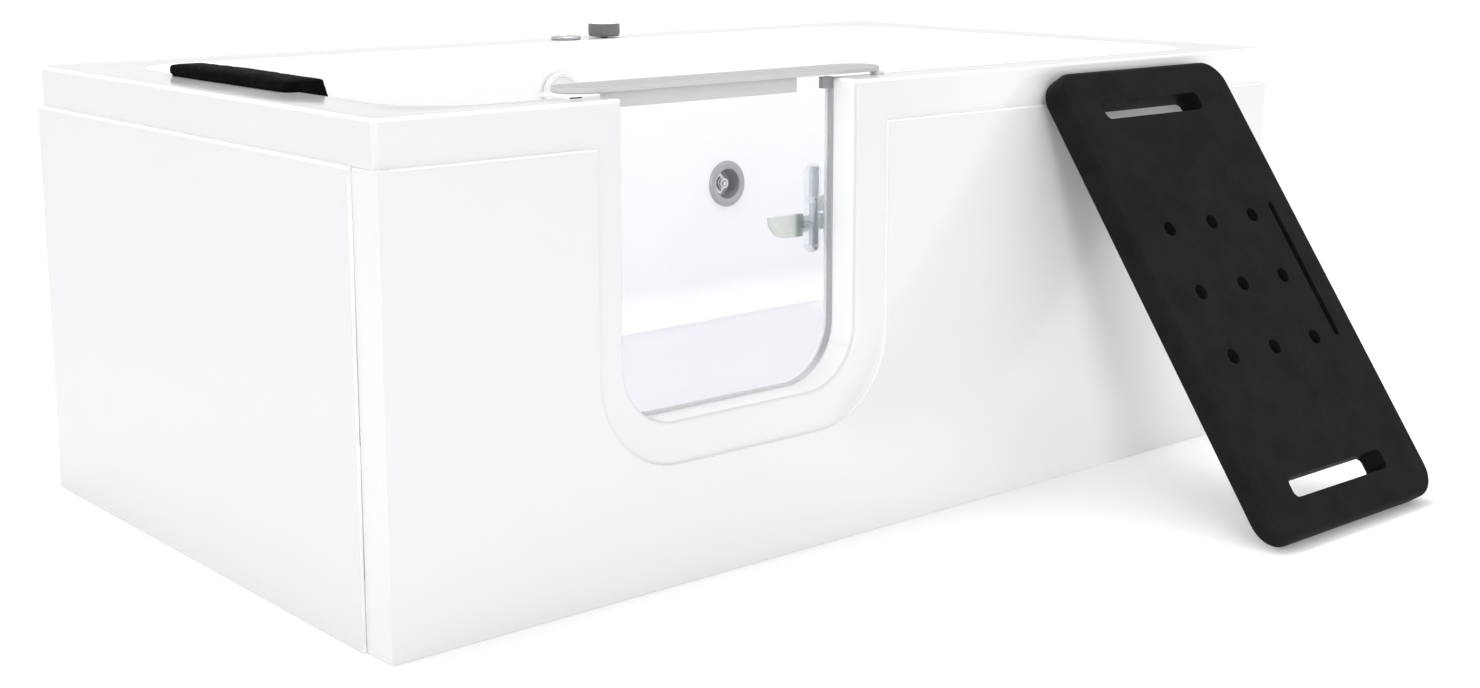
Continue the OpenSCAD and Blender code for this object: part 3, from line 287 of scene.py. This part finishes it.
def basin_acrylic(name, lip, lip_far_lit, top, edge, back_edge_shade, walls, doorway_lit, floor):
    """The glossy shell, one white acrylic with painted light and shade: grey lip as painted shade, lighter
    towards the foot and greyer on the head face, grey rim top that reflects little as painted shade, rounded
    edges painted white as a highlight with a painted dark line along the back edge, white basin and whiter
    doorway as painted light, and greyer basin floor."""
    m = sanitary_gloss(name, lip, 0.14, 0.11, 0.18, coat=0.3, peel=0.1)
    # painted light and shade on the lip: lighter towards the foot, greyer on the head face
    outer = m.blend(m.along(*LIP_TOWARDS_FOOT), m.drift(lip), m.drift(lip_far_lit))
    outer = m.blend(m.along(*LIP_HEAD_FACE), outer, m.drift(tone(lip, 0.935)))
    # painted light: basin walls and doorway lighter than the lip
    inner = m.blend(m.along(*DOORWAY), m.drift(walls), m.drift(doorway_lit))
    shade = m.blend(m.where_all(BEHIND_LIP), outer, inner)
    # painted highlight on the rounded rim edges, and a painted shadow line along the back edge
    painted_edge_tones = m.blend(m.along(*RIM_BACK_EDGE), m.drift(edge), m.drift(back_edge_shade))
    shade = m.blend(m.along(*RIM_ROUNDING), shade, painted_edge_tones)
    # painted shade: the rim top is grey
    on_top = m.along(*RIM_TOP)
    shade = m.blend(on_top, shade, m.drift(top))
    m.drive("Base Color", m.blend(m.along(*ABOVE_BASIN_FLOOR), m.drift(floor, 14.0), shade))
    m.drive("Specular IOR Level", m.run(on_top, target=(0.5, 0.12)))
    m.drive("Coat Weight", m.run(on_top, target=(0.3, 0.05)))
    return m.m


def slotted_gloss(name, colour, rough):
    """White moulding whose slot and bore, in the block by the hinge, are painted near-black inside as shade.
    """
    m = Mat(name, colour, rough, Coat_Weight=0.3, Coat_Roughness=0.06)
    # painted shade: near-black inside the slot and bore
    painted_hollow_shade = m.maths("MAXIMUM", m.inside(BLOCK_SLOT), m.inside(BLOCK_BORE))
    m.drive("Base Color", m.blend(painted_hollow_shade, m.drift(colour, 60.0, 0.015), (0.01, 0.01, 0.011, 1)))
    m.vary_rough(m.noise(40.0), rough * 0.85, rough * 1.15)
    return m.m


def chrome_plate(name, colour, bridge_highlight, rough):
    """Plated metal under soft light; the wall inlet's bridge is given a lighter colour than the bowl behind,
    a painted highlight.
    """
    m = Mat(name, colour, rough, 0.5)
    shades = [m.drift(c, 50.0, 0.05) for c in (colour, bridge_highlight)]
    # painted highlight on the wall inlet's bridge
    m.drive("Base Color", m.blend(m.where_all(INLET_BRIDGE), *shades))
    m.vary_rough(m.noise(115.0), rough * 0.85, rough * 1.18)
    return m.m


def door_rubber(name, colour, sill):
    """Matt rubber, paler where it lies flat along the sill, as painted light from above."""
    m = Mat(name, colour, 0.55)
    # painted light: paler along the sill
    shade = m.blend(m.along(*GASKET_SILL), m.drift(colour, 60.0, 0.05), m.drift(sill, 60.0, 0.04))
    m.drive("Base Color", shade)
    m.vary_rough(m.noise(120.0), 0.47, 0.62)
    m.bump(m.noise(900.0, 2.0), 0.0001, 0.6)
    return m.m


def knob_painted_top_light(name, top, side, rough, metal):
    """A turned metal knob: darker side, and a top painted pale as light from above; both with a fine grain.
    """
    m = Mat(name, side, rough, metal)
    fine = m.noise(220.0)
    # painted light: the upward-facing top is paler
    m.drive("Base Color", m.blend(m.facing_up(0.55, 0.85), m.tones(fine, side, 0.92, 1.08),
                                  m.tones(fine, top, 0.96, 1.04)))
    m.vary_rough(m.noise(90.0), rough * 0.85, rough * 1.15)
    return m.m


def clear_moulding(name, colour, alpha):
    """Clear moulded plastic: half see-through, with a glossy skin and faint flow marks."""
    m = Mat(name, colour, 0.12, Alpha=alpha)
    m.drive("Base Color", m.tones(m.noise(40.0), colour, 0.96, 1.03))
    m.bump(m.noise(55.0, 2.0), 0.0003, 0.2)
    return m.m


def paddle_plastic(name, pale, deep):
    """The lever's translucent plastic, darker in a band partway along its length."""
    m = Mat(name, pale, 0.25, Coat_Weight=0.3, Coat_Roughness=0.08)
    far = tone(pale, 1.04)
    stops = [(0.0, pale), (0.25, tone(pale, 0.93)), (0.42, deep), (0.5, deep), (0.75, far), (1.0, far)]
    m.drive("Base Color", m.ramp(m.along(*LEVER_LENGTH), stops))
    m.vary_rough(m.noise(60.0), 0.2, 0.3)
    return m.m


def pane(name, tint, edge):
    """Clear sheet glass: see-through and reflecting on its two faces, greener on its cut edge."""
    m = Mat(name, edge, 0.15, Alpha=0.3)
    on_face = m.maths("GREATER_THAN", m.maths("ABSOLUTE", m.normal_part("Y")), 0.7)
    clear = m.build("ShaderNodeBsdfTransparent", 0, {"Color": (*tint, 1)})
    shine = m.build("ShaderNodeBsdfGlossy", 0, {"Roughness": 0.01, "Color": (1, 1, 1, 1)})
    glint = m.build("ShaderNodeFresnel", 0, {"IOR": 1.12})
    face = m.build("ShaderNodeMixShader", 0, {0: glint, 1: clear, 2: shine})
    both = m.build("ShaderNodeMixShader", 0, {0: on_face, 1: m.p.outputs[0], 2: face})
    m.feed(both, m.nt.nodes["Material Output"].inputs["Surface"])
    return m.m


def soft_skin(name, colour, rough):
    """Self-skinned black foam: fine pores, a soft sheen and a slightly uneven gloss."""
    m = Mat(name, colour, rough, Specular_IOR_Level=0.02)
    m.drive("Base Color", m.tones(m.noise(45.0, 4.0), colour, 0.8, 1.35))
    m.vary_rough(m.noise(120.0), rough * 0.85, min(1.0, rough * 1.2))
    m.bump(m.cells(1400.0), 0.00012, 0.5)
    m.bump(m.noise(60.0), 0.0004, 0.2)
    return m.m


def grained_board(name, colour, rough):
    """Black textured laminate: a fine pebble grain with faint lighter rubs."""
    m = Mat(name, colour, rough, Specular_IOR_Level=0.05)
    m.drive("Base Color", m.tones(m.noise(22.0, 6.0, 0.6), colour, 0.82, 1.3, start=0.35))
    m.vary_rough(m.noise(300.0, 3.0, 0.6), rough * 0.85, rough * 1.15)
    m.bump(m.cells(900.0), 0.0001, 0.45)
    return m.m


MATS = {
    # The shell is one white acrylic; apart from the greyer basin floor, its tones are painted light and
    # shade.
    "acrylic": basin_acrylic(
        "acrylic_gloss", lip=(0.765, 0.76, 0.768), lip_far_lit=(0.86, 0.855, 0.86), top=(0.575, 0.56, 0.575),
        edge=(0.90, 0.90, 0.905), back_edge_shade=(0.47, 0.465, 0.47), walls=(0.93, 0.933, 0.943),
        doorway_lit=(0.96, 0.96, 0.96), floor=(0.67, 0.68, 0.705)),
    # The panel's head end is painted greyer as shade, and its gaps paler as painted light.
    "panel": panel_gloss("panel_gloss", (0.765, 0.757, 0.77), 0.2),
    "board": speckled("board_chip", (0.55, 0.44, 0.3), 0.8, spread=0.22, scale=160.0,
                      bump=0.0004, bump_scale=220.0),
    "tube_steel": speckled("tube_zinc", (0.5, 0.51, 0.53), 0.42, 0.7, spread=0.1, scale=60.0),
    "steel": speckled("steel_zinc", (0.5, 0.5, 0.51), 0.3, 1.0, spread=0.08, scale=120.0),
    "foot_plastic": speckled("foot_nylon", (0.03, 0.03, 0.032), 0.6, spread=0.2, bump=0.0001),
    # The gasket is painted paler along the sill as light from above.
    "gasket": door_rubber("gasket_rubber", (0.43, 0.43, 0.445), (0.68, 0.68, 0.69)),
    "gasket_cap": speckled("gasket_cap_rubber", (0.26, 0.26, 0.27), 0.5, spread=0.08, bump=0.0001),
    "glass": pane("clear_pane", (0.992, 0.996, 0.999), (0.85, 0.93, 0.93)),
    # The rail's upper face is painted darker as shade, against the bright reflection it would show.
    "aluminium": brushed("rail_aluminium", (0.57, 0.555, 0.57), 0.5, "X", 0.05, 0.1,
                         top=(0.37, 0.36, 0.372)),
    # The second colour is a painted highlight on the wall inlet's bridge.
    "chrome": chrome_plate("chrome_plate", (0.42, 0.425, 0.44), (0.74, 0.745, 0.76), 0.18),
    # The hinge block's slot and bore are painted near-black as shade.
    "white_plastic": slotted_gloss("white_cap", (0.90, 0.90, 0.90), 0.25),
    "pale_plastic": speckled("pale_pad", (0.86, 0.86, 0.86), 0.5),
    "latch_case": clear_moulding("latch_clear", (0.74, 0.81, 0.86), 0.2),
    "rod_grey": brushed("rod_satin", (0.63, 0.645, 0.68), 0.4, "Z", 0.02, 0.12),
    "latch_lever": paddle_plastic("latch_paddle", (0.66, 0.68, 0.64), (0.28, 0.33, 0.31)),
    "pipe_plastic": speckled("pipe_grey", (0.6, 0.6, 0.59), 0.45, spread=0.05, bump=0.00006),
    "cover_plastic": moulded_gloss("cover_white", (0.84, 0.84, 0.845), 0.16),
    "copper": speckled("pipe_copper", (0.72, 0.38, 0.26), 0.28, 1.0, spread=0.1, scale=40.0),
    "brass": speckled("valve_brass", (0.72, 0.56, 0.26), 0.3, 1.0, spread=0.08, scale=60.0),
    # The knob's top is painted pale as light falling on it from above.
    "knob_metal": knob_painted_top_light("knob_turned", (0.95, 0.94, 0.95), (0.155, 0.15, 0.156), 0.42, 0.2),
    "ring_chrome": speckled("ring_plate", (0.5, 0.5, 0.52), 0.34, 0.8, spread=0.04, scale=60.0),
    "peg_black": speckled("peg_nylon", (0.02, 0.02, 0.02), 0.4),
    "headrest_foam": soft_skin("headrest_skin", (0.0045, 0.004, 0.0045), 0.7),
    "board_black": grained_board("seat_laminate", (0.0088, 0.0078, 0.0088), 0.55),
}
for sub in frame["record"]["subparts"]:
    o = NODES[sub["node"]]
    if not o.material_slots:
        o.data.materials.append(None)
    for s in o.material_slots:
        s.link = "OBJECT"
        s.material = MATS[sub["material_slot"]]

# ---------------------------------------------------------------- shading of the solids

WELD_DISTANCE = 0.00002
SMOOTH_BELOW = math.radians(28)
BEVEL_ABOVE = math.radians(40)
BEVELS = {"door_channel": 0.0006, "hinge_door_leaf": 0.0005, "hinge_wall_leaf": 0.0005,
          "latch_case": 0.0008, "latch_lever": 0.001, "latch_keeper": 0.0005,
          "gasket_end_cap": 0.0008, "base_board": 0.001}


def shade_smooth(mesh):
    for p in mesh.polygons:
        p.use_smooth = True


def finish_edges(o, bevel):
    """Joins the imported faces, rounds sharp edges where a width is given and shades the rest smooth."""
    join = o.modifiers.new("join", "WELD")
    join.merge_threshold = WELD_DISTANCE
    if bevel:
        edge = o.modifiers.new("edge", "BEVEL")
        edge.width = bevel
        edge.segments = 2
        edge.limit_method = "ANGLE"
        edge.angle_limit = BEVEL_ABOVE
        edge.use_clamp_overlap = True
        edge.harden_normals = False
    split = o.modifiers.new("split", "EDGE_SPLIT")
    split.split_angle = SMOOTH_BELOW
    shade_smooth(o.data)


for name, o in NODES.items():
    finish_edges(o, BEVELS.get(name))

# ---------------------------------------------------------------- headrest cushion

VOXEL = 0.003
SMOOTHING = 0.2
INSET = 0.0006
MOST_SWELL = 0.0016
CLOTH_FRAMES = 20
CLOTH = {"quality": 6, "mass": 0.2, "tension_stiffness": 40, "compression_stiffness": 40,
         "shear_stiffness": 20, "bending_stiffness": 6, "use_pressure": True,
         "uniform_pressure_force": 4.0}


def edit(me, *steps):
    """Runs some steps on the vertices and faces of a mesh."""
    bm = bmesh.new()
    bm.from_mesh(me)
    for step in steps:
        step(bm)
    bm.to_mesh(me)
    bm.free()


def join_doubles(bm):
    bmesh.ops.remove_doubles(bm, verts=bm.verts, dist=0.0001)
    bmesh.ops.recalc_face_normals(bm, faces=bm.faces)


def soften(bm):
    bmesh.ops.smooth_vert(bm, verts=bm.verts, factor=SMOOTHING, use_axis_x=True, use_axis_y=True,
                          use_axis_z=True)


def draw_in(bm):
    for v in bm.verts:
        v.co -= v.normal * INSET


def swell(o):
    """Lets the skin settle as a cloth under slight pressure, and holds each point near its start."""
    start = [v.co.copy() for v in o.data.vertices]
    cloth = o.modifiers.new("cloth", "CLOTH")
    for k, v in CLOTH.items():
        setattr(cloth.settings, k, v)
    cloth.settings.effector_weights.gravity = 0.0
    for f in range(1, CLOTH_FRAMES + 1):
        scene.frame_set(f)
    bpy.ops.object.modifier_apply(modifier="cloth")
    scene.frame_set(1)
    for v, a in zip(o.data.vertices, start):
        d = v.co - a
        if d.length > MOST_SWELL:
            v.co = a + d * (MOST_SWELL / d.length)


def cushion():
    src = NODES["headrest"]
    dg = bpy.context.evaluated_depsgraph_get()
    me = bpy.data.meshes.new_from_object(src.evaluated_get(dg))
    me.materials.clear()
    o = bpy.data.objects.new("headrest_pad", me)
    scene.collection.objects.link(o)
    edit(me, join_doubles)
    r = o.modifiers.new("remesh", "REMESH")
    r.mode = "VOXEL"
    r.voxel_size = VOXEL
    bpy.context.view_layer.objects.active = o
    o.select_set(True)
    bpy.ops.object.modifier_apply(modifier="remesh")
    edit(o.data, soften, draw_in)
    swell(o)
    s = o.modifiers.new("fine", "SUBSURF")
    s.levels = s.render_levels = 1
    shade_smooth(o.data)
    o.data.materials.append(MATS["headrest_foam"])
    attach(o, "headrest")
    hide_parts("headrest")


cushion()

# ---------------------------------------------------------------- floor and world

FLOOR_HALF = 14.0
FLOOR_DROP = 0.0005

floor_mesh = bpy.data.meshes.new("floor")
corners = [(x * FLOOR_HALF, y * FLOOR_HALF, 0) for x, y in ((-1, -1), (1, -1), (1, 1), (-1, 1))]
floor_mesh.from_pydata(corners, [], [(0, 1, 2, 3)])
floor = bpy.data.objects.new("floor", floor_mesh)
floor.location = (0, 0, -FLOOR_DROP)
scene.collection.objects.link(floor)
fm = Mat("floor_pale", (0.95, 0.95, 0.955), 0.8, Emission_Color=(1.0, 1.0, 1.0, 1.0), Emission_Strength=0.12)
fm.drive("Base Color", fm.ramp(fm.noise(1.2), [(NOISE_LOW, (0.945, 0.945, 0.95)),
                                               (NOISE_HIGH, (0.955, 0.955, 0.96))]))
floor.data.materials.append(fm.m)

# A white studio that is a trace darker overhead
world = bpy.data.worlds.new("studio")
scene.world = world
world.use_nodes = True
wn = world.node_tree
bg = wn.nodes["Background"]
tc = wn.nodes.new("ShaderNodeTexCoord")
sx = wn.nodes.new("ShaderNodeSeparateXYZ")
rp = wn.nodes.new("ShaderNodeValToRGB")
for e, (position, colour) in zip(rp.color_ramp.elements, [(0.0, (1.0, 1.0, 1.0, 1)),
                                                          (0.9, (0.97, 0.97, 0.98, 1))]):
    e.position = position
    e.color = colour
wn.links.new(tc.outputs["Generated"], sx.inputs[0])
wn.links.new(sx.outputs["Z"], rp.inputs["Fac"])
wn.links.new(rp.outputs["Color"], bg.inputs["Color"])
bg.inputs["Strength"].default_value = 1.0

# ---------------------------------------------------------------- lights


def light(name, kind, place, watts, target=None):
    """Adds a light, turned towards a target if there is one."""
    o = bpy.data.objects.new(name, bpy.data.lights.new(name, kind))
    o.data.energy = watts
    o.location = place
    if target:
        o.rotation_euler = (Vector(target) - Vector(place)).to_track_quat("-Z", "Y").to_euler()
    scene.collection.objects.link(o)
    return o


def area(name, place, target, size, watts):
    o = light(name, "AREA", place, watts, target)
    o.data.shape = "RECTANGLE"
    o.data.size, o.data.size_y = size


def spot(name, place, target, degrees, radius, watts):
    o = light(name, "SPOT", place, watts, target)
    o.data.spot_size = math.radians(degrees)
    o.data.spot_blend = 1.0
    o.data.shadow_soft_size = radius


def bulb(name, place, watts, radius):
    """A small fill that neither the camera nor a glossy face shows."""
    o = light(name, "POINT", place, watts)
    o.data.shadow_soft_size = radius
    o.visible_camera = False
    o.visible_glossy = False


area("overhead", (0.0, 0.05, 2.4), (0, 0.05, 0.2), (2.2, 0.8), 22)
area("left_fill", (-3.2, 0.2, 1.2), (-0.7, 0, 0.3), (1.6, 1.6), 6)
area("camera_fill", (-2.2, -2.5, 1.2), (-0.2, -0.3, 0.3), (1.5, 1.5), 8)
# Light that many reflections bring to the panel behind the seat board, and into the cabinet
spot("shade_fill", (-0.9, -2.7, 0.45), (0.47, -0.43, 0.12), 25, 0.3, 105)
bulb("board_fill_high", (0.52, -0.515, 0.35), 0.4, 0.05)
bulb("board_fill_low", (0.62, -0.60, 0.15), 0.45, 0.05)
bulb("cabinet_fill_low", (-0.69, -0.31, 0.20), 0.35, 0.03)
bulb("cabinet_fill_high", (-0.70, -0.31, 0.42), 0.35, 0.03)

scene.view_settings.view_transform = "Standard"
scene.view_settings.look = "None"
scene.view_settings.exposure = 0.0
